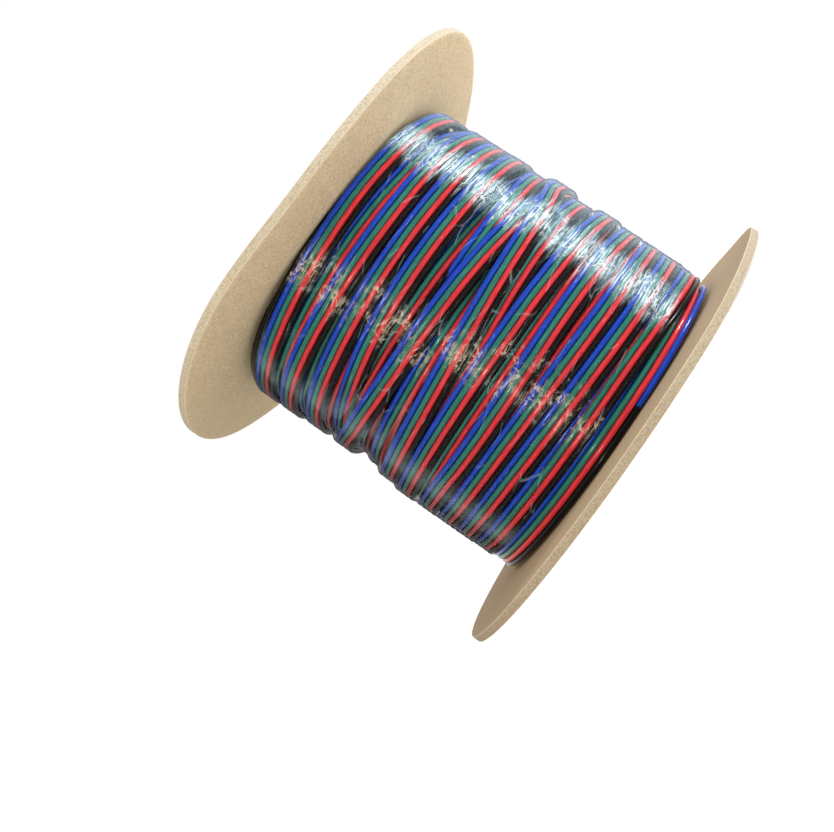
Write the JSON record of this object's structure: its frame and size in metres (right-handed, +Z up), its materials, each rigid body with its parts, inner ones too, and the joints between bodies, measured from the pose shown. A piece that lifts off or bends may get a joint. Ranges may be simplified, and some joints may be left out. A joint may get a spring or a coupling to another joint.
{
  "type": "reel of ribbon hookup cable",
  "caption": "Flat ribbon of bonded hookup wires wound between two warped fibreboard discs, wrapped in clear film, on a cardboard tube",
  "frame": {"origin": "where the reel's axis meets the lower disc's outer face, on the floor", "axes": "+Z up along the reel's axis, from the lower disc to the upper one"},
  "size_m": [0.15, 0.15, 0.1072],
  "materials": {
    "fibreboard": "matt kraft-faced fibreboard",
    "tube_board": "matt spiral-wound grey-brown board",
    "wire_insulation": "satin PVC, four colours side by side",
    "clear_film": "clear glossy stretch film"
  },
  "bodies": {
    "root": {"bottom_flange": "fibreboard", "top_flange": "fibreboard", "core_tube": "tube_board", "cable_winding": "wire_insulation", "film_wrap": "clear_film"}
  },
  "joints": []
}
